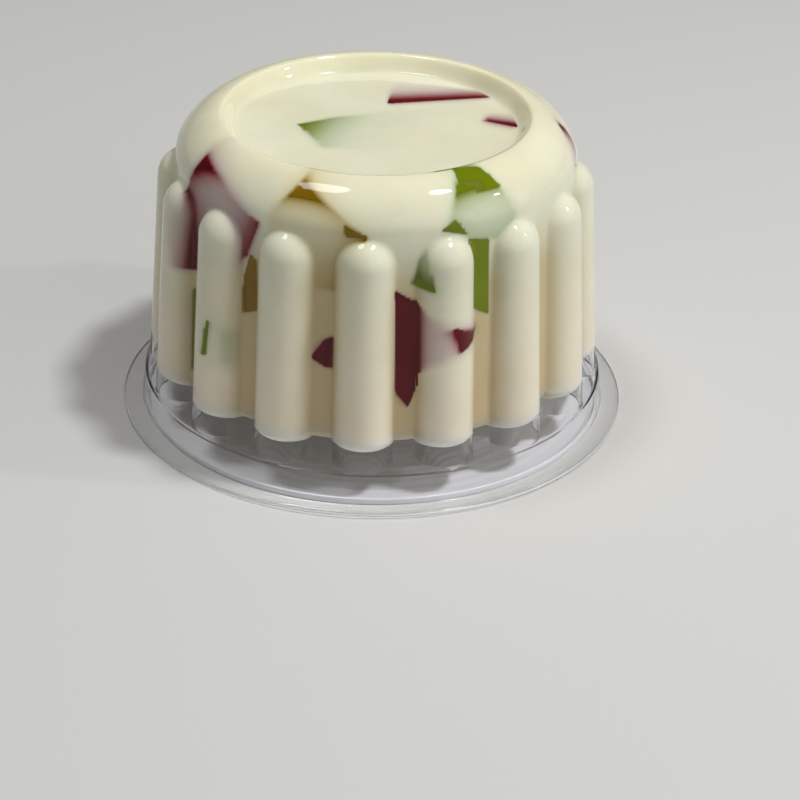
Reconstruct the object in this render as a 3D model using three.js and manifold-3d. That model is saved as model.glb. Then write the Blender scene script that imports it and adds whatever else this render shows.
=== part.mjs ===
// A mosaic jelly in its clear fluted dessert cup, standing upside down on its flange, with the thin
// lid inside the cup's step.
// Milky cream jelly fills the cup's sixteen flutes and holds blocks of coloured fruit gel, some of
// which touch the clear wall. Millimetres, +Z up, origin on the table under the middle of the lid.
// The front of the cup looks towards -Y, and azimuths are degrees from there towards +X.

import * as THREE from 'three';
import { mergeVertices } from 'three/addons/utils/BufferGeometryUtils.js';
import Module from 'manifold-3d';

const wasm = await Module();
wasm.setup();

// ---- driving dimensions -------------------------------------------------------------------------

const RIM_DIAMETER = 95;            // the cup's sealing flange, the common 95 mm size
const HEIGHT = 57.8;                // lid to crest
const RIBS = 16;                    // half-round columns round the wall
const FIRST_RIB = -2.26;            // azimuth of the rib nearest the front
const RIB_RADIUS = 5.45;            // of each column's half circle and of its round cap
const RIB_CENTRES = { low: 37.15, high: 34.95 };  // radius of the column centres, at ledge and cap
const GROOVES = { low: 38.2, high: 36.7 };        // radius of the wall between the columns
const CAP_Z = 43.75;                // height of the round caps' centres
const SHOULDER_Z = 50.2;            // where the wall starts to round over
const SHOULDER_POWER = 1.7;         // of the superellipse that the shoulder follows
const BLEND = 1.0;                  // fillet between columns and wall

const CREST_RADIUS = 28.6;          // the ring along the top
const RECESS = { radius: 26.1, depth: 3.0 };      // the sunk disc inside it

const LEDGE_Z = 6.3;                // where the flutes start
const STEP = { high: 43.2, low: 43.8 };           // radius of the plain step under the flutes
const FLANGE = { top: 0.6, flareTop: 1.4, flare: 0.5 };    // flat rim, and the round foot of the step
const SHEET = 0.5;                  // thickness of the cup's plastic

const LID = { radius: 43.0, thickness: 0.4, skirtHeight: 1.4, skirtWidth: 0.5, sides: 64 };

const FIT = 0.3;                    // clearance between neighbouring pieces
const JELLY_BOTTOM = 9.3;           // the cup isn't filled to the ledge
const JELLY_ROUND = 2.2;            // soft lower edge of the set jelly

// ---- the fluted wall ----------------------------------------------------------------------------

const PITCH = 360 / RIBS;
const rad = THREE.MathUtils.degToRad;
const mix = THREE.MathUtils.lerp;

// The larger of two radii, with a parabolic fillet of the given width where they cross.
function blendedMax(a, b, width) {
  const overlap = Math.max(width - Math.abs(a - b), 0);
  return Math.max(a, b) + (overlap * overlap) / (4 * width);
}

// Radius of the wall between the columns: a straight taper, then a superellipse up to the crest.
function grooveRadius(z) {
  if (z <= SHOULDER_Z) {
    return mix(GROOVES.low, GROOVES.high, (z - LEDGE_Z) / (SHOULDER_Z - LEDGE_Z));
  }
  const rise = Math.min((z - SHOULDER_Z) / (HEIGHT - SHOULDER_Z), 1);
  const reach = Math.pow(1 - Math.pow(rise, SHOULDER_POWER), 1 / SHOULDER_POWER);
  return mix(CREST_RADIUS, GROOVES.high, reach);
}

// Radius of one column's surface, a half-round prism that ends in a ball, at an angle from its
// middle. Beside the column it falls away inwards, so that the groove takes over.
function ribRadius(z, offset, inset) {
  const t = Math.min((z - LEDGE_Z) / (CAP_Z - LEDGE_Z), 1);
  const centre = mix(RIB_CENTRES.low, RIB_CENTRES.high, t);
  const radius = RIB_RADIUS - inset;
  const above = Math.max(z - CAP_Z, 0);
  const across = centre * Math.sin(rad(offset));
  const square = radius * radius - above * above - across * across;
  return centre * Math.cos(rad(offset)) + Math.sign(square) * Math.sqrt(Math.abs(square));
}

// Angles of the mesh columns over one pitch: even steps round a rib's half circle, and the middle
// of the groove.
const HALF_CIRCLE_STEPS = [-76, -38, 0, 38, 76];
const RIB_SHARE = RIB_RADIUS / mix(RIB_CENTRES.low, RIB_CENTRES.high, 0.5);
const COLUMNS = [
  ...HALF_CIRCLE_STEPS.map((step) => THREE.MathUtils.radToDeg(Math.asin(RIB_SHARE * Math.sin(rad(step))))),
  PITCH / 2,
];

// A closed body turned from a profile of { r, z, inset, fluted } points that starts and ends on the
// axis. Fluted points take their radius from the wall, moved in by the inset.
function turned(profile) {
  const outline = profile.map((p) => new THREE.Vector2(p.r, p.z));
  const lathe = new THREE.LatheGeometry(outline, RIBS * COLUMNS.length);
  const place = lathe.attributes.position;
  for (let column = 0; column <= RIBS * COLUMNS.length; column++) {
    const rib = Math.floor(column / COLUMNS.length) % RIBS;
    const offset = COLUMNS[column % COLUMNS.length];
    const azimuth = rad(FIRST_RIB + rib * PITCH + offset);
    profile.forEach((p, row) => {
      let r = p.r;
      if (p.fluted) {
        r = blendedMax(grooveRadius(p.wallZ ?? p.z) - p.inset, ribRadius(p.z, offset, p.inset), BLEND);
      }
      place.setXYZ(column * profile.length + row, r * Math.sin(azimuth), -r * Math.cos(azimuth), p.z);
    });
  }
  return solid(lathe);
}

// The fluted skin from the ledge up to the crest, moved in by an inset, from the bottom row up.
function wallRows(inset, bottom) {
  const rows = [bottom, CAP_Z];
  const ball = RIB_RADIUS - inset;
  for (const angle of [30, 57, 78]) {
    rows.push(CAP_Z + ball * Math.sin(rad(angle)));
  }
  const profile = rows.map((z) => ({ r: 0, z, inset, fluted: true }));
  for (const angle of [0, 28, 52, 72]) {
    const rise = Math.pow(Math.sin(rad(angle)), 2 / SHOULDER_POWER);
    const wallZ = mix(SHOULDER_Z, HEIGHT, rise);
    profile.push({ r: 0, z: wallZ - inset * rise, wallZ, inset, fluted: true });
  }
  return profile;
}

// Crest ring and sunk disc, from the crest to the axis.
function topRows(inset) {
  const floor = HEIGHT - RECESS.depth - inset;
  return [
    { r: CREST_RADIUS, z: HEIGHT - inset },
    { r: CREST_RADIUS - 0.9 + inset / 2, z: HEIGHT - inset - 0.4 },
    { r: RECESS.radius - 0.4 - inset / 2, z: floor },
    { r: 0, z: floor },
  ];
}

// ---- solids -------------------------------------------------------------------------------------

// A manifold solid from a geometry's positions alone, its faces turned outwards.
function solid(geometry) {
  geometry.deleteAttribute('normal');
  geometry.deleteAttribute('uv');
  const merged = mergeVertices(geometry, 1e-4);
  const corners = Array.from(merged.index.array);
  const kept = [];
  for (let i = 0; i < corners.length; i += 3) {
    const [a, b, c] = corners.slice(i, i + 3);
    if (a !== b && b !== c && c !== a) {
      kept.push(a, b, c);
    }
  }
  const vertProperties = Float32Array.from(merged.attributes.position.array);
  const build = (triVerts) => new wasm.Manifold(new wasm.Mesh({ numProp: 3, vertProperties, triVerts }));
  const body = build(Uint32Array.from(kept));
  if (body.volume() > 0) {
    return body;
  }
  for (let i = 0; i < kept.length; i += 3) {
    [kept[i], kept[i + 1]] = [kept[i + 1], kept[i]];
  }
  return build(Uint32Array.from(kept));
}

// Largest body of a cut solid, without loose crumbs.
function wholePiece(body) {
  return body.decompose().reduce((best, part) => (part.volume() > best.volume() ? part : best));
}

const group = new THREE.Group();

function add(name, body, look) {
  const mesh = wholePiece(body).getMesh();
  const geometry = new THREE.BufferGeometry();
  geometry.setAttribute('position', new THREE.BufferAttribute(mesh.vertProperties, 3));
  geometry.setIndex(new THREE.BufferAttribute(mesh.triVerts, 1));
  geometry.computeVertexNormals();
  const piece = new THREE.Mesh(geometry, new THREE.MeshStandardMaterial(look));
  piece.name = name;
  group.add(piece);
}

// ---- the clear cup ------------------------------------------------------------------------------

// Outer skin from the axis down to the flange, then the inner skin back up to the axis.
function cupProfile() {
  const rim = RIM_DIAMETER / 2;
  const outer = [...wallRows(0, LEDGE_Z), ...topRows(0)].reverse();
  const inner = [...wallRows(SHEET, LEDGE_Z - SHEET), ...topRows(SHEET)];
  return [
    ...outer,
    { r: STEP.high, z: LEDGE_Z },
    { r: STEP.low, z: FLANGE.flareTop },
    { r: STEP.low + FLANGE.flare, z: FLANGE.top },
    { r: rim, z: FLANGE.top },
    { r: rim, z: 0 },
    { r: STEP.low - SHEET + FLANGE.flare, z: 0 },
    { r: STEP.low - SHEET, z: FLANGE.flareTop - SHEET },
    { r: STEP.high - SHEET, z: LEDGE_Z - SHEET },
    ...inner,
  ];
}

const CLEAR_PLASTIC = { color: 0xe9ecee, roughness: 0.08, metalness: 0, transparent: true, opacity: 0.3 };
add('cup', turned(cupProfile()), CLEAR_PLASTIC);

// ---- the lid inside the step --------------------------------------------------------------------

const FROSTED_PLASTIC = { color: 0xd9d8de, roughness: 0.45, metalness: 0, transparent: true, opacity: 0.8 };

// A flat translucent disc with an upstanding skirt that plugs the cup's step.
function lidGeometry() {
  const { radius, thickness, skirtHeight, skirtWidth, sides } = LID;
  const profile = [
    new THREE.Vector2(0, 0),
    new THREE.Vector2(radius, 0),
    new THREE.Vector2(radius, skirtHeight),
    new THREE.Vector2(radius - skirtWidth, skirtHeight),
    new THREE.Vector2(radius - skirtWidth, thickness),
    new THREE.Vector2(0, thickness),
  ];
  return new THREE.LatheGeometry(profile, sides).rotateX(Math.PI / 2);
}

add('lid', solid(lidGeometry()), FROSTED_PLASTIC);

// ---- the jelly's outer form ---------------------------------------------------------------------

// What the cup holds: the wall's form less the plastic and the clearance, with a soft lower edge.
function jellyProfile() {
  const inset = SHEET + FIT;
  const rows = wallRows(inset, JELLY_BOTTOM + JELLY_ROUND);
  const edge = [90, 55, 25].map((angle) => {
    const z = JELLY_BOTTOM + JELLY_ROUND * (1 - Math.sin(rad(angle)));
    const tuck = JELLY_ROUND * (1 - Math.cos(rad(angle)));
    return { r: 0, z, inset: inset + tuck, fluted: true };
  });
  return [{ r: 0, z: JELLY_BOTTOM }, ...edge, ...rows, ...topRows(inset)];
}

const filling = turned(jellyProfile());

// ---- blocks of coloured gel ---------------------------------------------------------------------

const RED_GEL = { color: 0x6d0a1c, roughness: 0.25, metalness: 0 };
const GREEN_GEL = { color: 0x7f8f0c, roughness: 0.25, metalness: 0 };
const AMBER_GEL = { color: 0xa8770f, roughness: 0.25, metalness: 0 };

// A prism of gel. Its outer face lies through the three corners that set it, the others are dropped
// square onto that face, and the prism goes straight in from it. The spread widens it all round.
function prism(corners, depth, spread) {
  const face = new THREE.Plane().setFromCoplanarPoints(...corners.filter((c) => c.sets).map((c) => c.at));
  if (face.distanceToPoint(new THREE.Vector3(0, 0, HEIGHT / 2)) > 0) {
    face.negate();
  }
  const points = corners.map((c) => face.projectPoint(c.at, new THREE.Vector3()));
  const inward = face.normal.clone().negate();
  const across = points[1].clone().sub(points[0]).normalize();
  const up = inward.clone().cross(across);
  const flat = points.map((p) => {
    const arm = p.clone().sub(points[0]);
    return new THREE.Vector2(arm.dot(across), arm.dot(up));
  });
  if (THREE.ShapeUtils.isClockWise(flat)) {
    flat.reverse();
  }
  const outline = flat.map((p, i) => mitred(flat.at(i - 1), p, flat[(i + 1) % flat.length], spread));
  const geometry = new THREE.ExtrudeGeometry(new THREE.Shape(outline), {
    depth: depth + 2 * spread,
    bevelEnabled: false,
  });
  geometry.translate(0, 0, -spread);
  geometry.applyMatrix4(new THREE.Matrix4().makeBasis(across, up, inward).setPosition(points[0]));
  return solid(geometry);
}

// An outline's corner, moved so that both edges that meet in it shift outwards by a distance.
function mitred(before, corner, after, shift) {
  const [first, second] = [[before, corner], [corner, after]].map(([a, b]) => {
    const edge = b.clone().sub(a).normalize();
    return new THREE.Vector2(edge.y, -edge.x);
  });
  return corner.clone().addScaledVector(first.clone().add(second), shift / (1 + first.dot(second)));
}

// A block of gel: one prism for each face and tip that the knife left.
function block(faces, depth, spread = 0) {
  return faces.map((corners) => prism(corners, depth, spread)).reduce((whole, part) => whole.add(part));
}

// A corner on the wall: azimuth, height and, on the three that set the face, how far proud of the
// wall between the columns it lies.
function onWall([azimuth, z, proud]) {
  const r = grooveRadius(z) + (proud ?? 0);
  const at = new THREE.Vector3(r * Math.sin(rad(azimuth)), -r * Math.cos(rad(azimuth)), z);
  return { at, sets: proud !== undefined };
}

// A corner under the sunk disc: x, y and, on the three that set the face, z.
function underDisc([x, y, z]) {
  const at = new THREE.Vector3(x, y, z ?? HEIGHT - RECESS.depth);
  return { at, sets: z !== undefined };
}

// The same cut of block, whole ribs further round and lower down.
function moved(ribs, drop, faces) {
  const along = ([azimuth, z, ...proud]) => [azimuth + ribs * PITCH, z - drop, ...proud];
  return faces.map((face) => face.map(along));
}

// Faces that lie along the wall: azimuth, height and, on three corners, how far proud.
const TALL = [[-61.8, 55.1, 1.4], [-50.3, 53.3], [-33.4, 49.4, -0.2], [-37.4, 42.2], [-50.8, 35.4],
  [-67.1, 32.9, 1.85], [-69.1, 42.3]];
const KITE = [[-22.6, 56.8, 2.5], [-2.2, 49.7, 0.2], [-5.6, 38.9], [-27.4, 38.8, -1.1], [-29.9, 51.3]];
const KITE_TIP = [[-8.2, 51.6, 0.3], [-1.9, 49.5, 0.3], [-7.5, 49.5, 0.3]];
const BROAD = [[26.3, 56.5, 1.15], [38.9, 54.7], [43, 50.2, -1.2], [39.2, 46.2], [26.4, 47.9],
  [20.4, 51.1, -1.05]];
const BROAD_TIP = [[22.7, 51.7, 0.3], [25.9, 48.9, 0.3], [18.6, 50.2, 0.3]];
const BROAD_TOP = [[28.4, 58.8, 0.6], [36.8, 58.2, 1.65], [39.7, 55.2], [32.2, 55.2], [26.2, 55.6, -0.1]];
const BROAD_SIDE = [[27.2, 47.8, 1.2], [33, 46.9, 0.2], [33.4, 32.6], [26.4, 35.4, 1.3]];
const STRIPE = [[6.2, 39.6, 1.05], [11.2, 37.2, 0.25], [12.5, 20.7], [10, 16.8], [6.7, 20.1, 0.7]];
const SLANTED = [[10.4, 37.8, -0.15], [25.5, 30.6, 3.8], [23.2, 28.1], [11.9, 20.7, 0.35]];
const SLANTED_TIP = [[21.3, 33.2, 4.2], [29.6, 30.4, 0.75], [23.4, 28.4, 4.15]];
const WEDGE = [[9, 40.7, -1], [15, 40.1, 2.85], [17.3, 44.4], [14.6, 46.9, -0.4], [10.5, 45.6]];
const ARROW = [[-16.4, 25.7, 0.7], [-12.4, 29.7, 0.1], [-8.7, 30.5], [-8.7, 23.9], [-12.4, 24.2, -0.05]];
const STRIP = [[-36.6, 42.7, 0.4], [-34.3, 41.8], [-33.9, 32.4, 0.8], [-39.2, 30.6, -0.4], [-39.3, 35.5]];
const LEANING = [[-62.9, 29.4, -0.3], [-48.7, 33.8, 0.85], [-42.2, 26.7], [-42.6, 20.5], [-46.9, 17.4],
  [-63.2, 12.7, -0.45]];
const LEANING_EDGE = [[-46.1, 28.9, 4], [-45.3, 28.8, 3.9], [-47.1, 21.9], [-47.5, 21.7, 4.25]];
const SHOULDER = [[89.5, 55.9, 0.3], [90.1, 54.5, 0.2], [85.6, 48.8], [76.8, 49.8, -3.2]];

const BROAD_BLOCK = [BROAD, BROAD_TIP, BROAD_SIDE];
const SLANTED_BLOCK = [STRIPE, SLANTED, SLANTED_TIP];

const wallBlocks = [
  { name: 'gel_red_left', look: RED_GEL, depth: 9, faces: [TALL] },
  { name: 'gel_amber_front', look: AMBER_GEL, depth: 8, faces: [KITE, KITE_TIP] },
  { name: 'gel_green_right', look: GREEN_GEL, depth: 9, faces: [...BROAD_BLOCK, BROAD_TOP] },
  { name: 'gel_red_front', look: RED_GEL, depth: 9, faces: SLANTED_BLOCK },
  { name: 'gel_green_front', look: GREEN_GEL, depth: 7, faces: [WEDGE] },
  { name: 'gel_red_low', look: RED_GEL, depth: 8, faces: [ARROW] },
  { name: 'gel_amber_left', look: AMBER_GEL, depth: 8, faces: [STRIP] },
  { name: 'gel_green_left', look: GREEN_GEL, depth: 8, faces: [LEANING, LEANING_EDGE] },
  { name: 'gel_red_shoulder', look: RED_GEL, depth: 5, faces: [SHOULDER] },
  { name: 'gel_amber_side', look: AMBER_GEL, depth: 8, faces: moved(7, 0, [STRIP]) },
  { name: 'gel_red_side', look: RED_GEL, depth: 9, faces: moved(9, 3, [TALL]) },
  { name: 'gel_green_rear', look: GREEN_GEL, depth: 9, faces: moved(7, 6, BROAD_BLOCK) },
  { name: 'gel_amber_rear', look: AMBER_GEL, depth: 8, faces: moved(-6, 5, [KITE, KITE_TIP]) },
  { name: 'gel_red_rear', look: RED_GEL, depth: 9, faces: moved(-6, 0, SLANTED_BLOCK) },
];

// Faces under the sunk disc: x, y and, on three corners, z.
const TOP_STRIP = [[2, 11.5, 55.4], [21.3, 15.2, 54.95], [19.5, 18.9], [2.9, 22.9, 50.65]];
const TOP_CORNER = [[-14.1, 0.3, 55.2], [-7.6, 3.9], [11.8, 9.9], [4.3, -11.2, 50.9], [-9.7, -10.4, 53.6]];
const TOP_RIM = [[20, 4.1, 54.85], [26.1, 1.6, 55.25], [25.9, 7.4, 51.65], [21.1, 8.9]];

const discBlocks = [
  { name: 'gel_red_top', look: RED_GEL, depth: 9, faces: [TOP_STRIP] },
  { name: 'gel_green_top', look: GREEN_GEL, depth: 8, faces: [TOP_CORNER] },
  { name: 'gel_red_rim', look: RED_GEL, depth: 8, faces: [TOP_RIM] },
];

const blocks = [
  ...wallBlocks.map((item) => ({ ...item, faces: item.faces.map((face) => face.map(onWall)) })),
  ...discBlocks.map((item) => ({ ...item, faces: item.faces.map((face) => face.map(underDisc)) })),
];

// Each block is trimmed by the cup and by the blocks already laid, and leaves its pocket behind.
let cream = filling;
for (const item of blocks) {
  add(item.name, block(item.faces, item.depth).intersect(cream), item.look);
  cream = cream.subtract(block(item.faces, item.depth, FIT));
}

// ---- the cream jelly ----------------------------------------------------------------------------

add('jelly', cream, { color: 0xe9e4c4, roughness: 0.3, metalness: 0 });

export default group;
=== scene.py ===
"""A mosaic jelly in its clear fluted dessert cup, standing upside down, its thin lid inside."""

import bpy
import numpy as np
from mathutils import Matrix, Vector


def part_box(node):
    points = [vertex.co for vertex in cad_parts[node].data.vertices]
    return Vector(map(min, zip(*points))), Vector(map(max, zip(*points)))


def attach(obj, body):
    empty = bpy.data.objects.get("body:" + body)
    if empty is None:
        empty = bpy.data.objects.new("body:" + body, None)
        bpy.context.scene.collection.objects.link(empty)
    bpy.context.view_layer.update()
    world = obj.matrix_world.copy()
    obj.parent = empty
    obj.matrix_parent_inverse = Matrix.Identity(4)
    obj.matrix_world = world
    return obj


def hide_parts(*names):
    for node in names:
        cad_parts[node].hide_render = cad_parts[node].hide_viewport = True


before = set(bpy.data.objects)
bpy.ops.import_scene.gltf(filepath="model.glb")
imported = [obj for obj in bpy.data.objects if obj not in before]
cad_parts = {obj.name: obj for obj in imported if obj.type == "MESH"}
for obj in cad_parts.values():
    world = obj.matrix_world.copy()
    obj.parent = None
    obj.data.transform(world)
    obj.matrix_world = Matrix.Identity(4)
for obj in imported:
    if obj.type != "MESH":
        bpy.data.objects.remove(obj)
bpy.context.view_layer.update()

# ---- The clear cup ------------------------------------------------------------------------------
# The dessert cup is one sheet of clear polypropylene, half a millimetre thick, vacuum formed over a
# fluted mould: sixteen half-round columns, a rounded shoulder, a crest with a sunk disc inside it,
# and below the flutes a plain step with a flange. It stands on the flange and clings to the jelly.

MM = 0.001                          # all lengths here are in millimetres, meshes in metres
RIBS = 16
PITCH = 2 * np.pi / RIBS
FIRST_RIB = np.radians(-2.26)       # azimuth of the rib nearest the front
RIB_RADIUS = 5.45
RIB_TURN = 84                       # degrees of its half circle left by the fillet, on each side
RIB_CENTRE_LOW, RIB_CENTRE_HIGH = 37.15, 34.95
GROOVE_LOW, GROOVE_HIGH = 38.2, 36.7
CAP_Z = 43.75                       # height of the centres of the round caps
SHOULDER_Z = 50.2                   # where the wall starts to turn in
SHOULDER_POWER = 1.7                # roundness of the shoulder's superellipse
BLEND = 1.0                         # fillet between columns and wall
LEDGE_Z = 6.3                       # the flutes end here, on the step
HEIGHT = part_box("cup")[1].z / MM
CREST_RADIUS = 28.6
CREST_SLOPE = 2.9                   # width of the S-shaped slope from the crest to the disc
RECESS_DEPTH = 3.0
STEP_HIGH, STEP_LOW = 43.2, 43.8    # radii of the step's slightly conical wall
FLANGE_TOP = 0.6
FLANGE_RADIUS = min(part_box("cup")[1].x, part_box("cup")[1].y) / MM
FLANGE_LIFT = 0.25                  # the thin rim doesn't lie quite flat
FLANGE_WAVES = ((0.3, 3, 1.0), (0.2, 5, 2.6))   # height, how many go round, phase
RIM_EDGE = 0.2                      # how far the rough punched edge reaches in
FOOT_ROUND = 0.8                    # between the step and the flange
SHEET = 0.5                         # thickness of the formed sheet
FILLET = 0.28                       # at both ends of the ledge
ROUND_STEPS, GROOVE_STEPS = 18, 6   # mesh columns round one column and across one groove
CAP_ROWS, SHOULDER_ROWS, SLOPE_ROWS = 15, 27, 13
EDGE_ROWS = 9                       # round a half circle
TINY = 1e-9


def blended_max(one, other, width):
    """The larger of two radii, with a parabolic fillet of the given width where they cross."""
    overlap = np.maximum(width - np.abs(one - other), 0)
    return np.maximum(one, other) + overlap**2 / (4 * width)


def wall_radius(z, offset):
    """Radius of the fluted wall at a height and an angle from a column's middle: the larger of the
    wall between the columns (a cone, then a superellipse up to the crest) and of the column (half a
    circle round its own centre line, shrinking as a ball above the cap's centre)."""
    rise = np.clip((z - SHOULDER_Z) / (HEIGHT - SHOULDER_Z), 0, 1)
    reach = (1 - rise**SHOULDER_POWER) ** (1 / SHOULDER_POWER)
    cone = np.interp(z, [LEDGE_Z, SHOULDER_Z], [GROOVE_LOW, GROOVE_HIGH])
    groove = np.where(z > SHOULDER_Z, CREST_RADIUS + (GROOVE_HIGH - CREST_RADIUS) * reach, cone)
    centre = np.interp(z, [LEDGE_Z, CAP_Z], [RIB_CENTRE_LOW, RIB_CENTRE_HIGH])
    square = RIB_RADIUS**2 - np.maximum(z - CAP_Z, 0) ** 2 - (centre * np.sin(offset)) ** 2
    rib = centre * np.cos(offset) + np.sign(square) * np.sqrt(np.abs(square))
    return blended_max(groove, rib, BLEND)


def column_angles(round_steps, groove_steps):
    """Angles of the mesh columns: even steps round each column's half circle, then across the
    groove, repeated for every rib. Returns the azimuths and the angles from the rib's middle."""
    share = RIB_RADIUS / (0.5 * (RIB_CENTRE_LOW + RIB_CENTRE_HIGH))
    turn = np.radians(np.linspace(-RIB_TURN, RIB_TURN, round_steps))
    on_rib = np.arcsin(share * np.sin(turn))
    in_groove = np.linspace(on_rib[-1], PITCH - on_rib[-1], groove_steps + 1)[1:-1]
    one = np.concatenate([on_rib, in_groove])
    ribs = np.arange(RIBS)[:, None] * PITCH
    return (FIRST_RIB + ribs + one).ravel(), np.tile(one, RIBS)


def ring(radius, z, azimuth):
    """Points at a radius and height, azimuths counted from the front, as an array of x, y, z."""
    radius, z, azimuth = np.broadcast_arrays(radius, z, azimuth)
    return np.stack([radius * np.sin(azimuth), -radius * np.cos(azimuth), z], -1)


def fluted_skin(azimuth, offset, bottom, wall_rows, disc_rows, inset):
    """The formed skin from a bottom height up to the crest and in to the axis, moved in by an inset
    along its own normals, which it also returns. Rows run up the columns, round their caps and the
    shoulder by even angles, down the S-shaped slope inside the crest, and across the disc."""
    cap = CAP_Z + RIB_RADIUS * np.sin(np.radians(np.linspace(0, RIB_TURN, CAP_ROWS)))
    turn = np.radians(np.linspace(0, 90, SHOULDER_ROWS))[1:]
    rise = np.sin(turn) ** (2 / SHOULDER_POWER)
    z = np.concatenate([
        np.linspace(bottom, CAP_Z, wall_rows)[:-1],
        cap,
        [0.5 * (cap[-1] + SHOULDER_Z), SHOULDER_Z],
        SHOULDER_Z + (HEIGHT - SHOULDER_Z) * rise,
    ])[:, None]
    wall = ring(wall_radius(z, offset), z, azimuth)
    share = np.linspace(0, 1, SLOPE_ROWS)[1:, None]
    slope = ring(
        CREST_RADIUS - CREST_SLOPE * share,
        HEIGHT - RECESS_DEPTH * 0.5 * (1 - np.cos(np.pi * share)),
        azimuth,
    )
    disc_radius = np.linspace(CREST_RADIUS - CREST_SLOPE, 0, disc_rows)[1:, None]
    disc = ring(disc_radius, HEIGHT - RECESS_DEPTH, azimuth)
    points = np.concatenate([wall, slope, disc])
    along = np.gradient(points, axis=0)
    across = np.roll(points, -1, 1) - np.roll(points, 1, 1)
    normal = np.cross(across, along)
    length = np.linalg.norm(normal, axis=-1, keepdims=True)
    normal = np.where(length > TINY, normal / np.maximum(length, TINY), [0, 0, 1])
    normal[-1] = [0, 0, 1]
    return points - inset * normal, normal


def skin_mesh(name, points):
    """A closed mesh from rows of points round the axis: quads between neighbouring rows, and a fan
    where the first or last row lies on the axis. Returns the object and which points it uses."""
    rows, columns = points.shape[:2]
    grid = np.arange(rows * columns).reshape(rows, columns)
    for row in (0, rows - 1):
        if np.ptp(points[row, :, :2]) < TINY:
            grid[row] = grid[row, 0]
    right = np.roll(grid, -1, 1)
    quads = np.stack([grid[:-1], right[:-1], right[1:], grid[1:]], -1).reshape(-1, 4)
    starts = quads[:, 0] == quads[:, 1]
    ends = quads[:, 2] == quads[:, 3]
    faces = quads[~(starts | ends)].tolist()
    faces += quads[starts][:, [0, 2, 3]].tolist()
    faces += quads[ends][:, [0, 1, 2]].tolist()
    used = np.unique(np.concatenate(faces))
    number = np.zeros(rows * columns, int)
    number[used] = np.arange(len(used))
    corners = (points.reshape(-1, 3)[used] * MM).tolist()
    mesh = bpy.data.meshes.new(name)
    mesh.from_pydata(corners, [], [number[face].tolist() for face in faces])
    mesh.polygons.foreach_set("use_smooth", np.ones(len(mesh.polygons), bool))
    mesh.update()
    piece = bpy.data.objects.new(name, mesh)
    bpy.context.scene.collection.objects.link(piece)
    return piece, used


def arc(centre_r, centre_z, radius, start, end, steps=4):
    """Radii and heights round an arc of a profile, angles in degrees from straight outwards."""
    angle = np.radians(np.linspace(start, end, steps))
    return centre_r + radius * np.cos(angle), centre_z + radius * np.sin(angle)


def cup_points():
    """The whole cup as one loop of rows: the inner skin from the axis down to the flange, round the
    flange's edge, and the outer skin up the step, over the ledge and up to the axis. Two slow waves
    round the flange lift its rim, by the square of the way out."""
    azimuth, offset = column_angles(ROUND_STEPS, GROOVE_STEPS)
    rows = {"wall_rows": 10, "disc_rows": 8}
    outer = fluted_skin(azimuth, offset, LEDGE_Z + FILLET, inset=0, **rows)[0]
    inner = fluted_skin(azimuth, offset, LEDGE_Z - SHEET + FILLET, inset=SHEET, **rows)[0][::-1]

    def ledge_rows(inset):
        """Rows from the foot of the flutes out over the ledge and round its outer fillet."""
        z = LEDGE_Z - inset
        start = wall_radius(np.full_like(offset, LEDGE_Z), offset) - inset
        turn = np.radians([22.5, 45, 67.5, 90])[:, None]
        foot = ring(start + FILLET * (1 - np.cos(turn)), z + FILLET * (1 - np.sin(turn)), azimuth)
        top_r, top_z = arc(STEP_HIGH - inset - FILLET, z - FILLET, FILLET, 90, 0)
        return np.concatenate([foot, ring(top_r[:, None], top_z[:, None], azimuth)])

    edge = 0.5 * FLANGE_TOP
    parts = [arc(STEP_LOW - SHEET + FOOT_ROUND, FOOT_ROUND, FOOT_ROUND, 180, 270, 6)]
    parts.append(arc(FLANGE_RADIUS - edge, edge, edge, -90, 90, EDGE_ROWS))
    parts.append(arc(STEP_LOW + FOOT_ROUND, FLANGE_TOP + FOOT_ROUND, FOOT_ROUND, 270, 180, 6))
    radius, z = np.concatenate(parts, axis=1)
    out = np.clip((radius - STEP_LOW) / (FLANGE_RADIUS - STEP_LOW), 0, 1)[:, None]
    lift = 0.5
    for height, count, phase in FLANGE_WAVES:
        lift = lift + height * np.sin(count * azimuth + phase)
    foot = ring(radius[:, None], z[:, None] + FLANGE_LIFT * lift * out**2, azimuth)
    return np.concatenate([inner, ledge_rows(SHEET), foot, ledge_rows(0)[::-1], outer])


def linear(colour):
    """An sRGB hex colour as linear red, green, blue and full alpha."""
    value = np.array([int(colour[i:i + 2], 16) for i in (0, 2, 4)]) / 255
    value = np.where(value <= 0.04045, value / 12.92, ((value + 0.055) / 1.055) ** 2.4)
    return (*value.tolist(), 1.0)


def material(name):
    """An empty node material and its output node."""
    made = bpy.data.materials.new(name)
    made.use_nodes = True
    made.node_tree.nodes.clear()
    return made, made.node_tree.nodes.new("ShaderNodeOutputMaterial")


def node(owner, kind, inputs, **settings):
    """Adds one node. Settings are its own properties; an input is a value, or a socket to link."""
    made = owner.node_tree.nodes.new(kind)
    for name, value in settings.items():
        setattr(made, name, value)
    for name, value in inputs.items():
        if isinstance(value, bpy.types.NodeSocket):
            owner.node_tree.links.new(value, made.inputs[name])
        else:
            made.inputs[name].default_value = value
    return made


cup, _ = skin_mesh("clear_cup_shell", cup_points())

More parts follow.
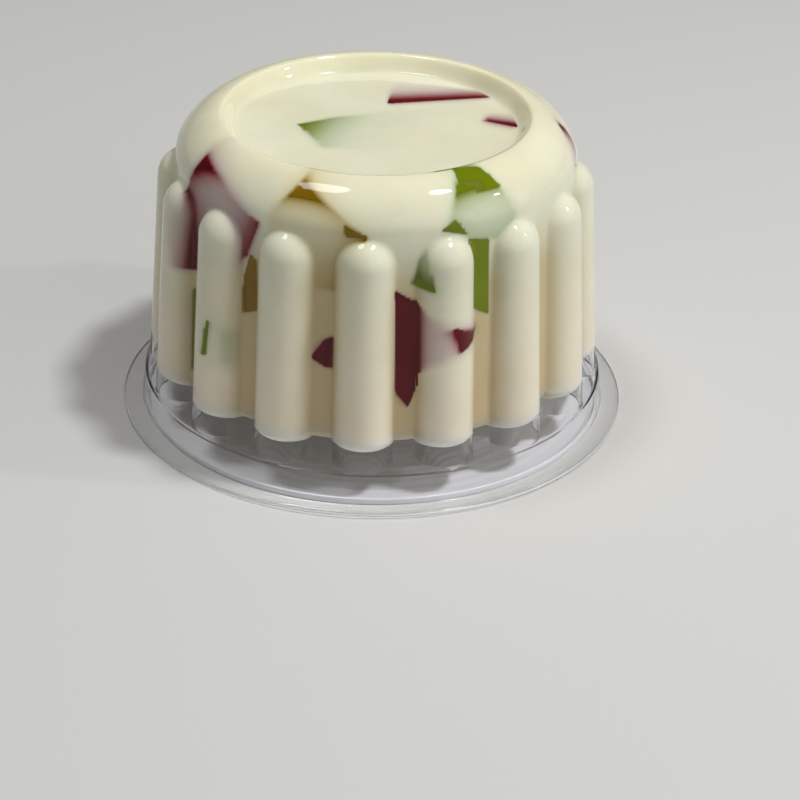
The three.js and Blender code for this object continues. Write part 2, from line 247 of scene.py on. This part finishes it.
# Clear vacuum-formed polypropylene: glassy, with the faint long waves of a formed sheet. Light
# passes it straight on its way to what is behind, as a thin clear sheet hardly dims or bends it.
WAVE_LENGTH, WAVE_HEIGHT = 7, 0.12
made, out = material("clear_formed_polypropylene")
place = node(made, "ShaderNodeTexCoord", {})
wave = node(made, "ShaderNodeTexNoise", {
    "Vector": place.outputs["Object"],
    "Scale": 1 / (WAVE_LENGTH * MM),
    "Detail": 2.0,
})
bump = node(made, "ShaderNodeBump", {
    "Height": wave.outputs["Fac"],
    "Distance": WAVE_HEIGHT * MM,
    "Strength": 0.7,
})
sheet = node(made, "ShaderNodeBsdfPrincipled", {
    "Base Color": linear("fcfcfd"),
    "Roughness": 0.04,
    "IOR": 1.34,
    "Transmission Weight": 1.0,
    "Normal": bump.outputs["Normal"],
})
path = node(made, "ShaderNodeLightPath", {})
clear = node(made, "ShaderNodeBsdfTransparent", {"Color": linear("ffffff")})
shown = sheet.outputs["BSDF"]
for ray in ("Is Shadow Ray", "Is Diffuse Ray"):
    mix = node(made, "ShaderNodeMixShader", {"Fac": path.outputs[ray]})
    made.node_tree.links.new(shown, mix.inputs[1])
    made.node_tree.links.new(clear.outputs["BSDF"], mix.inputs[2])
    shown = mix.outputs["Shader"]
made.node_tree.links.new(shown, out.inputs["Surface"])
cup.data.materials.append(made)

# The rim of the flange is punched out and slightly rough, so it catches the light as a thin line.
# The faces of the rim are those whose middles lie furthest out.
NICK_LENGTH = 1.5
made, out = material("punched_polypropylene_edge")
place = node(made, "ShaderNodeTexCoord", {})
nicks = node(made, "ShaderNodeTexNoise", {
    "Vector": place.outputs["Object"],
    "Scale": 1 / (NICK_LENGTH * MM),
})
rough = node(made, "ShaderNodeMapRange", {"Value": nicks.outputs["Fac"], "To Min": 0.2, "To Max": 0.5})
body = node(made, "ShaderNodeBsdfPrincipled", {
    "Base Color": linear("f2f4f4"),
    "Roughness": rough.outputs["Result"],
    "IOR": 1.49,
    "Transmission Weight": 0.4,
})
made.node_tree.links.new(body.outputs["BSDF"], out.inputs["Surface"])
cup.data.materials.append(made)
centres = np.empty(3 * len(cup.data.polygons), np.float32)
cup.data.polygons.foreach_get("center", centres)
reach = np.hypot(*centres.reshape(-1, 3)[:, :2].T) / MM
cup.data.polygons.foreach_set("material_index", (reach > FLANGE_RADIUS - RIM_EDGE).astype(np.int32))
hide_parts("cup")
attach(cup, "root")

# ---- The lid ------------------------------------------------------------------------------------
# A thin disc of frosted polypropylene with an upstanding skirt that plugs the cup's step, and fine
# pressed rings. It is milky, so hardly anything shows through it but a pale lavender grey.

LID_RADIUS = 43.0
LID_THICKNESS = 0.4
LID_FOOT_ROUND = 0.2
SKIRT_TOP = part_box("lid")[1].z / MM
SKIRT_WIDTH = 0.5
FLAT_MIDDLE, LAST_RING = 6, 40      # the rings start and end at these radii
RING_SPACING, RING_HEIGHT = 2.4, 0.03
LID_ROWS = 170                      # enough for the rings of the upper face


def lid_points():
    """The lid's flat lower face from the axis outwards, the round foot and top of its skirt, and its
    upper face with faint rings, each a cosine of the radius, back to the axis."""
    azimuth, _ = column_angles(ROUND_STEPS, GROOVE_STEPS)
    half = 0.5 * SKIRT_WIDTH
    lower = ring(np.array([0, 0.5, 1])[:, None] * LAST_RING, 0.0, azimuth)
    foot_r, foot_z = arc(LID_RADIUS - LID_FOOT_ROUND, LID_FOOT_ROUND, LID_FOOT_ROUND, -90, 0)
    top_r, top_z = arc(LID_RADIUS - half, SKIRT_TOP - half, half, 0, 180, EDGE_ROWS)
    radius = np.linspace(LID_RADIUS - SKIRT_WIDTH, 0, LID_ROWS)
    ringed = (radius > FLAT_MIDDLE) & (radius < LAST_RING)
    rings = RING_HEIGHT * np.cos(2 * np.pi * radius / RING_SPACING) * ringed
    upper = ring(radius[:, None], (LID_THICKNESS + rings)[:, None], azimuth)
    skirt = ring(np.append(foot_r, top_r)[:, None], np.append(foot_z, top_z)[:, None], azimuth)
    return np.concatenate([lower, skirt, upper])


lid, _ = skin_mesh("frosted_lid_disc", lid_points())

# Thin polypropylene, pressed on a matt roller: its fine grain spreads the light that it reflects.
GRAIN_LENGTH, GRAIN_HEIGHT = 0.5, 0.02
made, out = material("frosted_polypropylene")
place = node(made, "ShaderNodeTexCoord", {})
grain = node(made, "ShaderNodeTexNoise", {
    "Vector": place.outputs["Object"],
    "Scale": 1 / (GRAIN_LENGTH * MM),
})
bump = node(made, "ShaderNodeBump", {
    "Height": grain.outputs["Fac"],
    "Distance": GRAIN_HEIGHT * MM,
})
body = node(made, "ShaderNodeBsdfPrincipled", {
    "Base Color": linear("f4f4fa"),
    "Roughness": 0.35,
    "IOR": 1.49,
    "Transmission Weight": 0.15,
    "Normal": bump.outputs["Normal"],
})
made.node_tree.links.new(body.outputs["BSDF"], out.inputs["Surface"])
lid.data.materials.append(made)
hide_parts("lid")
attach(lid, "root")

# ---- The blocks of fruit gel --------------------------------------------------------------------
# Set gelatine in red, green and amber, cut with a knife into flat-faced blocks and dropped into the
# cup before the cream is poured. Some lie against the clear plastic, most lean into the cream.

GEL_INSET = 0.40                    # the gel reaches into the cup's sheet, so no air shows
CREAM_INSET = 0.45                  # and the cream just behind it
JELLY_BOTTOM = 9.3                  # the cup isn't filled to the ledge
JELLY_ROUND = 2.2                   # soft lower edge of the set jelly
TUCK_ROWS, BASE_ROWS = 9, 10        # mesh rows round that edge and across the flat base
RED, GREEN, AMBER = "red_gel", "green_gel", "amber_gel"

# Faces along the wall: azimuth in degrees, height and, on the three corners that set the face, how
# far proud of the wall between the columns it lies.
TALL = [(-61.8, 55.1, 1.4), (-50.3, 53.3), (-33.4, 49.4, -0.2), (-37.4, 42.2), (-50.8, 35.4),
        (-67.1, 32.9, 1.85), (-69.1, 42.3)]
KITE = [(-22.6, 56.8, 2.5), (-2.2, 49.7, 0.2), (-5.6, 38.9), (-27.4, 38.8, -1.1), (-29.9, 51.3)]
KITE_TIP = [(-8.2, 51.6, 0.3), (-1.9, 49.5, 0.3), (-7.5, 49.5, 0.3)]
BROAD = [(26.3, 56.5, 1.15), (38.9, 54.7), (43, 50.2, -1.2), (39.2, 46.2), (26.4, 47.9),
         (20.4, 51.1, -1.05)]
BROAD_TIP = [(22.7, 51.7, 0.3), (25.9, 48.9, 0.3), (18.6, 50.2, 0.3)]
BROAD_TOP = [(28.4, 58.8, 0.6), (36.8, 58.2, 1.65), (39.7, 55.2), (32.2, 55.2), (26.2, 55.6, -0.1)]
BROAD_SIDE = [(27.2, 47.8, 1.2), (33, 46.9, 0.2), (33.4, 32.6), (26.4, 35.4, 1.3)]
STRIPE = [(6.2, 39.6, 1.05), (11.2, 37.2, 0.25), (12.5, 20.7), (10, 16.8), (6.7, 20.1, 0.7)]
SLANTED = [(10.4, 37.8, -0.15), (25.5, 30.6, 3.8), (23.2, 28.1), (11.9, 20.7, 0.35)]
SLANTED_TIP = [(21.3, 33.2, 4.2), (29.6, 30.4, 0.75), (23.4, 28.4, 4.15)]
WEDGE = [(9, 40.7, -1), (15, 40.1, 2.85), (17.3, 44.4), (14.6, 46.9, -0.4), (10.5, 45.6)]
ARROW = [(-16.4, 25.7, 0.7), (-12.4, 29.7, 0.1), (-8.7, 30.5), (-8.7, 23.9), (-12.4, 24.2, -0.05)]
STRIP = [(-36.6, 42.7, 0.4), (-34.3, 41.8), (-33.9, 32.4, 0.8), (-39.2, 30.6, -0.4), (-39.3, 35.5)]
LEANING = [(-62.9, 29.4, -0.3), (-48.7, 33.8, 0.85), (-42.2, 26.7), (-42.6, 20.5), (-46.9, 17.4),
           (-63.2, 12.7, -0.45)]
LEANING_EDGE = [(-46.1, 28.9, 4), (-45.3, 28.8, 3.9), (-47.1, 21.9), (-47.5, 21.7, 4.25)]
SHOULDER = [(89.5, 55.9, 0.3), (90.1, 54.5, 0.2), (85.6, 48.8), (76.8, 49.8, -3.2)]
BROAD_BLOCK = (BROAD, BROAD_TIP, BROAD_SIDE)
SLANTED_BLOCK = (STRIPE, SLANTED, SLANTED_TIP)
WALL_BLOCKS = {                     # name: colour, depth, ribs moved round, way down, faces
    "gel_red_left": (RED, 9, 0, 0, [TALL]),
    "gel_amber_front": (AMBER, 8, 0, 0, [KITE, KITE_TIP]),
    "gel_green_right": (GREEN, 9, 0, 0, [*BROAD_BLOCK, BROAD_TOP]),
    "gel_red_front": (RED, 9, 0, 0, SLANTED_BLOCK),
    "gel_green_front": (GREEN, 7, 0, 0, [WEDGE]),
    "gel_red_low": (RED, 8, 0, 0, [ARROW]),
    "gel_amber_left": (AMBER, 8, 0, 0, [STRIP]),
    "gel_green_left": (GREEN, 8, 0, 0, [LEANING, LEANING_EDGE]),
    "gel_red_shoulder": (RED, 5, 0, 0, [SHOULDER]),
    "gel_amber_side": (AMBER, 8, 7, 0, [STRIP]),
    "gel_red_side": (RED, 9, 9, 3, [TALL]),
    "gel_green_rear": (GREEN, 9, 7, 6, BROAD_BLOCK),
    "gel_amber_rear": (AMBER, 8, -6, 5, [KITE, KITE_TIP]),
    "gel_red_rear": (RED, 9, -6, 0, SLANTED_BLOCK),
}
# Faces under the sunk disc: x, y and, on three corners, the height.
TOP_STRIP = [(2, 11.5, 55.4), (21.3, 15.2, 54.95), (19.5, 18.9), (2.9, 22.9, 50.65)]
TOP_CORNER = [(-14.1, 0.3, 55.2), (-7.6, 3.9), (11.8, 9.9), (4.3, -11.2, 50.9), (-9.7, -10.4, 53.6)]
TOP_RIM = [(20, 4.1, 54.85), (26.1, 1.6, 55.25), (25.9, 7.4, 51.65), (21.1, 8.9)]
DISC_BLOCKS = {                     # name: colour, depth, face
    "gel_red_top": (RED, 9, TOP_STRIP),
    "gel_green_top": (GREEN, 8, TOP_CORNER),
    "gel_red_rim": (RED, 8, TOP_RIM),
}
DISC_SUNK = 0.2                     # a film of cream has crept over these three


def prism(corners, depth, sunk=0.0):
    """A plane through the three corners that set the face, the others dropped square onto it, and
    the outline moved in by the cream's inset and by what it is sunk, then carried on straight in by
    the depth. Returns the corners of both ends and the outward planes as normals and distances."""
    places = np.array([place for place, _ in corners])
    first, second, third = places[[sets_face for _, sets_face in corners]]
    normal = np.cross(second - first, third - first)
    normal /= np.linalg.norm(normal)
    if normal @ (np.array([0, 0, HEIGHT / 2]) - first) > 0:
        normal = -normal
    flat = places - np.outer((places - first) @ normal, normal)
    if np.cross(flat, np.roll(flat, -1, 0)).sum(0) @ normal < 0:
        flat = flat[::-1]
    flat = flat - (CREAM_INSET + sunk) * normal
    side = np.cross(np.roll(flat, -1, 0) - flat, normal)
    side /= np.linalg.norm(side, axis=1, keepdims=True)
    normals = np.concatenate([[normal, -normal], side])
    distances = np.concatenate([[flat[0] @ normal, depth - flat[0] @ normal], (side * flat).sum(1)])
    return np.concatenate([flat, flat - depth * normal]), normals, distances


def wall_corner(corner, ribs, drop):
    """A corner on the wall as x, y, z, and whether it sets the face."""
    azimuth, z = np.radians(corner[0]) + ribs * PITCH, corner[1] - drop
    proud = corner[2] if len(corner) == 3 else 0.0
    radius = wall_radius(np.float64(min(z, HEIGHT)), np.float64(PITCH / 2)) + proud
    return ring(radius, z, azimuth), len(corner) == 3


def disc_corner(corner):
    """A corner under the disc as x, y, z, and whether it sets the face."""
    z = corner[2] if len(corner) == 3 else HEIGHT - RECESS_DEPTH
    return np.array([corner[0], corner[1], z]), len(corner) == 3


BLOCKS = {}                         # name: colour, prisms
for name, (colour, depth, ribs, drop, faces) in WALL_BLOCKS.items():
    outlines = [[wall_corner(corner, ribs, drop) for corner in face] for face in faces]
    BLOCKS[name] = (colour, [prism(outline, depth) for outline in outlines])
for name, (colour, depth, face) in DISC_BLOCKS.items():
    BLOCKS[name] = (colour, [prism([disc_corner(corner) for corner in face], depth, DISC_SUNK)])


def filling_points(inset, round_steps, groove_steps, wall_rows, disc_rows):
    """The jelly's outer form: the cup's skin moved in by an inset, closed below by a flat base with
    a soft lower edge. Also gives the outward normals of the rows."""
    azimuth, offset = column_angles(round_steps, groove_steps)
    bottom = JELLY_BOTTOM + JELLY_ROUND
    skin, normal = fluted_skin(azimuth, offset, bottom, wall_rows, disc_rows, inset)
    turn = np.radians(np.linspace(0, 90, TUCK_ROWS))[:-1, None]
    start = wall_radius(np.full_like(offset, bottom), offset) - inset
    tuck = JELLY_ROUND * (1 - np.sin(turn))
    edge = ring(start - tuck, JELLY_BOTTOM + JELLY_ROUND * (1 - np.cos(turn)), azimuth)
    rings = np.linspace(0, 0.9, BASE_ROWS)[:, None]
    base = ring(rings * (start - JELLY_ROUND), JELLY_BOTTOM, azimuth)
    down = np.broadcast_to([0.0, 0.0, -1.0], (len(base), len(azimuth), 3))
    outward = ring(np.ones(len(azimuth)), 0.0, azimuth)
    edge_normal = outward * np.sin(turn)[..., None] + np.array([0, 0, -1.0]) * np.cos(turn)[..., None]
    return np.concatenate([base, edge, skin]), np.concatenate([down, edge_normal, normal])


# Firm dyed gelatine, cut clean: so deep in colour that little light comes back, a little cloudy
# inside, and without a gloss of its own, because the clear plastic wets it.
GEL_COLOURS = {RED: ("640414", "4a020c"), GREEN: ("76840c", "5f6e08"), AMBER: ("8c700a", "745606")}
GEL_CLOUD = 5
COLOUR_A, COLOUR_B, COLOUR_RESULT = 6, 7, 2     # sockets of the Mix node for colours
GEL_MATERIALS = {}
for colour, (light, deep) in GEL_COLOURS.items():
    made, out = material(colour + "atine")
    place = node(made, "ShaderNodeTexCoord", {})
    cloud = node(made, "ShaderNodeTexNoise", {
        "Vector": place.outputs["Object"],
        "Scale": 1 / (GEL_CLOUD * MM),
        "Detail": 3.0,
    })
    tone = node(made, "ShaderNodeMix", {"Factor": cloud.outputs["Fac"]}, data_type="RGBA")
    tone.inputs[COLOUR_A].default_value = linear(deep)
    tone.inputs[COLOUR_B].default_value = linear(light)
    body = node(made, "ShaderNodeBsdfPrincipled", {
        "Base Color": tone.outputs[COLOUR_RESULT],
        "Roughness": 0.5,
        "IOR": 1.36,
        "Specular IOR Level": 0.0,
    })
    made.node_tree.links.new(body.outputs["BSDF"], out.inputs["Surface"])
    GEL_MATERIALS[colour] = made


def combine(piece, other, operation):
    """Joins or cuts a piece with another solid and keeps the result as its mesh."""
    step = piece.modifiers.new(operation, "BOOLEAN")
    step.operation = operation
    step.solver = "MANIFOLD"
    step.object = other
    bpy.context.view_layer.update()
    result = bpy.data.meshes.new_from_object(piece.evaluated_get(bpy.context.evaluated_depsgraph_get()))
    piece.modifiers.clear()
    piece.data = result


def prism_object(name, points):
    """A closed prism from the corners of its outer end and of its inner end."""
    half = len(points) // 2
    faces = [tuple(range(half)), tuple(range(2 * half - 1, half - 1, -1))]
    for here in range(half):
        after = (here + 1) % half
        faces.append((after, here, here + half, after + half))
    mesh = bpy.data.meshes.new(name)
    mesh.from_pydata((points * MM).tolist(), [], faces)
    piece = bpy.data.objects.new(name, mesh)
    bpy.context.scene.collection.objects.link(piece)
    return piece


CREASE = np.radians(25)             # edges of the cut blocks sharper than this stay sharp
STEPS = {"round_steps": 20, "groove_steps": 8}
cavity, _ = skin_mesh("cavity", filling_points(GEL_INSET, wall_rows=40, disc_rows=16, **STEPS)[0])
for name, (colour, prisms) in BLOCKS.items():
    block = prism_object(name + "_block", prisms[0][0])
    for points, _, _ in prisms[1:]:
        part = prism_object("part", points)
        combine(block, part, "UNION")
        bpy.data.objects.remove(part)
    combine(block, cavity, "INTERSECT")
    block.data.polygons.foreach_set("use_smooth", np.ones(len(block.data.polygons), bool))
    block.data.set_sharp_from_angle(angle=CREASE)
    block.data.materials.clear()
    block.data.materials.append(GEL_MATERIALS[colour])
    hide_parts(name)
    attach(block, "root")
bpy.data.objects.remove(cavity)

# ---- The cream jelly ----------------------------------------------------------------------------
# Milk and gelatine, poured warm round the blocks and set. It is dense and white, but a block that
# lies a millimetre or two behind the surface still shows through as a soft veil of its colour.

VEIL_DEPTH = 1.8                    # of cream that hides about two thirds of a block's colour
VEIL_RAYS, VEIL_SLANT = 24, 0.5     # looks into the cream from one point, and the widest one's sine


def colour_shown(points, directions, colour):
    """How much of a colour shows at each point, looking along its direction into the jelly: the
    exponential of minus the way to the nearest block of that colour over the veil's depth. The way
    ends where it enters the last of the block's planes, if it hasn't left the first by then."""
    shown = np.zeros(len(points))
    planes = [part[1:] for kind, parts in BLOCKS.values() if kind == colour for part in parts]
    for normals, distances in planes:
        towards = directions @ normals.T
        gap = distances - points @ normals.T
        along = gap / np.where(np.abs(towards) < TINY, TINY, towards)
        enter = np.where(towards < 0, along, -np.inf).max(1)
        leave = np.where(towards > 0, along, np.inf).min(1)
        meets = (enter < leave) & (leave > 0)
        shown = np.maximum(shown, np.exp(-np.maximum(enter, 0) / VEIL_DEPTH) * meets)
    return shown


def veil(points, normal):
    """Mean of each colour shown over a cone of directions round the inward normal, so that what lies
    deeper is softer: red, green and amber in that order. The directions follow a sunflower spiral."""
    step = np.arange(VEIL_RAYS)
    slant = VEIL_SLANT * np.sqrt((step + 0.5) / VEIL_RAYS)
    turn = step * np.pi * (3 - np.sqrt(5))
    helper = np.where(np.abs(normal[:, 2:]) < 0.9, [[0.0, 0.0, 1.0]], [[1.0, 0.0, 0.0]])
    side = np.cross(helper, normal)
    side /= np.linalg.norm(side, axis=1, keepdims=True)
    up = np.cross(normal, side)
    shown = np.zeros((len(points), 4))
    shown[:, 3] = 1
    for sine, angle in zip(slant, turn):
        aside = np.cos(angle) * side + np.sin(angle) * up
        ray = -normal * np.sqrt(1 - sine * sine) + sine * aside
        for channel, colour in enumerate((RED, GREEN, AMBER)):
            shown[:, channel] += colour_shown(points, ray, colour) / VEIL_RAYS
    return shown


def painted_groove_shade(points):
    """How deep each point lies between the columns, which sets the painted shade that darkens and
    browns the cream there: the way back from their front line over the whole depth of the groove,
    squared, fading out round their caps."""
    radius = np.hypot(points[:, 0], points[:, 1])
    z = points[:, 2]
    front = np.interp(z, [LEDGE_Z, CAP_Z], [RIB_CENTRE_LOW, RIB_CENTRE_HIGH]) + RIB_RADIUS
    back = np.interp(z, [LEDGE_Z, SHOULDER_Z], [GROOVE_LOW, GROOVE_HIGH])
    depth = np.clip((front - CREAM_INSET - radius) / (front - back), 0, 1)
    fade = np.clip((CAP_Z + RIB_RADIUS - z) / (2 * RIB_RADIUS), 0, 1)
    return depth**2 * fade


cream_points, cream_normals = filling_points(CREAM_INSET, wall_rows=66, disc_rows=34, **STEPS)
cream, used = skin_mesh("cream_jelly", cream_points)
flat_points = cream_points.reshape(-1, 3)[used]
flat_normals = cream_normals.reshape(-1, 3)[used]
attribute = cream.data.color_attributes.new("veil", "FLOAT_COLOR", "POINT")
attribute.data.foreach_set("color", veil(flat_points, flat_normals).astype(np.float32).ravel())
# The groove attribute holds painted shade: how far each point lies back in the deep grooves between the
# columns.
attribute = cream.data.attributes.new("groove", "FLOAT", "POINT")
attribute.data.foreach_set("value", painted_groove_shade(flat_points).astype(np.float32))

# Set milk gelatine, poured: smooth, wet against the plastic, and so dense that it is nearly opaque.
# Between the columns it is painted darker and browner, as painted shade for the deep grooves; it is
# cooler at its thin lower edge, and each veil tints it from hardly at all to the full colour of the
# gel.
CREAM_CLOUD = 14
made, out = material("cream_gelatine")
place = node(made, "ShaderNodeTexCoord", {})
cloud = node(made, "ShaderNodeTexNoise", {
    "Vector": place.outputs["Object"],
    "Scale": 1 / (CREAM_CLOUD * MM),
    "Detail": 3.0,
})
height = node(made, "ShaderNodeSeparateXYZ", {"Vector": place.outputs["Object"]})
level = node(made, "ShaderNodeMapRange", {
    "Value": height.outputs["Z"],
    "From Min": JELLY_BOTTOM * MM,
    "From Max": HEIGHT * MM,
})
deep = node(made, "ShaderNodeAttribute", {}, attribute_name="groove")
seen = node(made, "ShaderNodeAttribute", {}, attribute_name="veil")
split = node(made, "ShaderNodeSeparateColor", {"Color": seen.outputs["Color"]})
TINTS = [                           # what steers it, and the tint at each share of that
    (cloud.outputs["Fac"], {0.3: "f6f4ee", 0.7: "ffffff"}),
    (level.outputs["Result"], {
        0.0: "e2e6e8", 0.035: "e6e5de", 0.09: "efe7d4", 0.45: "ebe7d2", 0.68: "e6e6d2",
        0.8: "e8ead6", 1.0: "ece9cd",
    }),
    # painted shade, darker and browner deep between the columns
    (deep.outputs["Fac"], {0.0: "ffffff", 1.0: "dccfb6"}),
    (split.outputs["Red"], {
        0.05: "ffffff", 0.3: "e8dcea", 0.5: "caacbc", 0.7: "a86470", 0.85: "86262f", 1.0: "5f0313",
    }),
    (split.outputs["Green"], {
        0.05: "ffffff", 0.3: "eff5f1", 0.5: "d2dfd0", 0.75: "a0ae78", 1.0: "758410",
    }),
    (split.outputs["Blue"], {
        0.05: "ffffff", 0.4: "f4eee0", 0.6: "dccfae", 0.85: "b29c62", 1.0: "8c730d",
    }),
]
shade = None
for steer, stops in TINTS:
    ramp = node(made, "ShaderNodeValToRGB", {"Fac": steer})
    points = ramp.color_ramp.elements
    for share in list(stops)[1:-1]:
        points.new(share)
    for point, (share, tint) in zip(points, stops.items()):
        point.position = share
        point.color = linear(tint)
    if shade is None:
        shade = ramp.outputs["Color"]
        continue
    tinted = node(made, "ShaderNodeMix", {"Factor": 1.0}, data_type="RGBA", blend_type="MULTIPLY")
    made.node_tree.links.new(shade, tinted.inputs[COLOUR_A])
    made.node_tree.links.new(ramp.outputs["Color"], tinted.inputs[COLOUR_B])
    shade = tinted.outputs[COLOUR_RESULT]
body = node(made, "ShaderNodeBsdfPrincipled", {
    "Base Color": shade,
    "Roughness": 0.5,
    "IOR": 1.36,
    "Specular IOR Level": 0.0,
    "Subsurface Weight": 0.7,
    "Subsurface Radius": (1.0, 0.75, 0.5),
    "Subsurface Scale": 1.2 * MM,
})
made.node_tree.links.new(body.outputs["BSDF"], out.inputs["Surface"])
cream.data.materials.append(made)
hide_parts("jelly")
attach(cream, "root")

# ---- Studio -------------------------------------------------------------------------------------
# A plain pale table, one lamp nearly overhead, a broader one high on the left, a small one high on
# the right, two large soft ones low in front and at the side, and a dim warm room.

TABLE_HALF = 3.0
TABLE_Z = -0.00008                  # just under the lid, so that the two never coincide
table = bpy.data.meshes.new("table")
sides = [(-1, -1), (1, -1), (1, 1), (-1, 1)]
table.from_pydata([(x * TABLE_HALF, y * TABLE_HALF, TABLE_Z) for x, y in sides], [], [(0, 1, 2, 3)])
floor = bpy.data.objects.new("table", table)
bpy.context.scene.collection.objects.link(floor)
made, out = material("pale_table")
body = node(made, "ShaderNodeBsdfPrincipled", {"Base Color": linear("d2d2d0"), "Roughness": 0.8})
made.node_tree.links.new(body.outputs["BSDF"], out.inputs["Surface"])
table.materials.append(made)

world = bpy.data.worlds.new("studio")
world.use_nodes = True
world.node_tree.nodes["Background"].inputs["Color"].default_value = linear("f6f2ea")
world.node_tree.nodes["Background"].inputs["Strength"].default_value = 0.11
bpy.context.scene.world = world

LAMPS = {                           # name: direction, distance, size, watts
    "overhead": ((0.36, -0.09, 0.92), 0.9, 0.12, 4.1),
    "right": ((0.80, -0.12, 0.60), 0.9, 0.05, 0.9),
    "left": ((-0.26, 0.02, 0.96), 1.0, 0.30, 2.8),
    "side": ((0.90, -0.3, 0.22), 1.2, 1.00, 2.3),
    "front": ((0.5, -0.8, 0.35), 1.2, 1.00, 2.3),
}
MIDDLE = Vector((0, 0, 0.03))       # the lamps are aimed at this point
for name, (direction, distance, size, power) in LAMPS.items():
    lamp = bpy.data.lights.new(name, "AREA")
    lamp.shape = "DISK"
    lamp.size = size
    lamp.energy = power
    stand = bpy.data.objects.new(name, lamp)
    way = Vector(direction).normalized()
    aim = (-way).to_track_quat("-Z", "Y")
    stand.matrix_world = Matrix.Translation(MIDDLE + way * distance) @ aim.to_matrix().to_4x4()
    bpy.context.scene.collection.objects.link(stand)

# ---- Camera -------------------------------------------------------------------------------------
# Half a metre away, looking down by 26 degrees, with a short telephoto lens, shifted so that the cup
# stands above the middle of the picture.

DISTANCE = 0.48729
ELEVATION = np.radians(26.45)
ROLL = np.radians(0.98)
TARGET = Vector((0, 0, 0.025))
lens = bpy.data.cameras.new("camera")
lens.lens = 116.64
lens.shift_x = 0.0328
lens.shift_y = -0.1608
camera = bpy.data.objects.new("camera", lens)
away = Vector((0, -np.cos(ELEVATION), np.sin(ELEVATION))) * DISTANCE
turned = (-away).to_track_quat("-Z", "Y").to_matrix().to_4x4() @ Matrix.Rotation(ROLL, 4, "Z")
camera.matrix_world = Matrix.Translation(TARGET + away) @ turned
bpy.context.scene.collection.objects.link(camera)
bpy.context.scene.camera = camera
bpy.context.scene.view_settings.view_transform = "Standard"

bpy.context.view_layer.update()
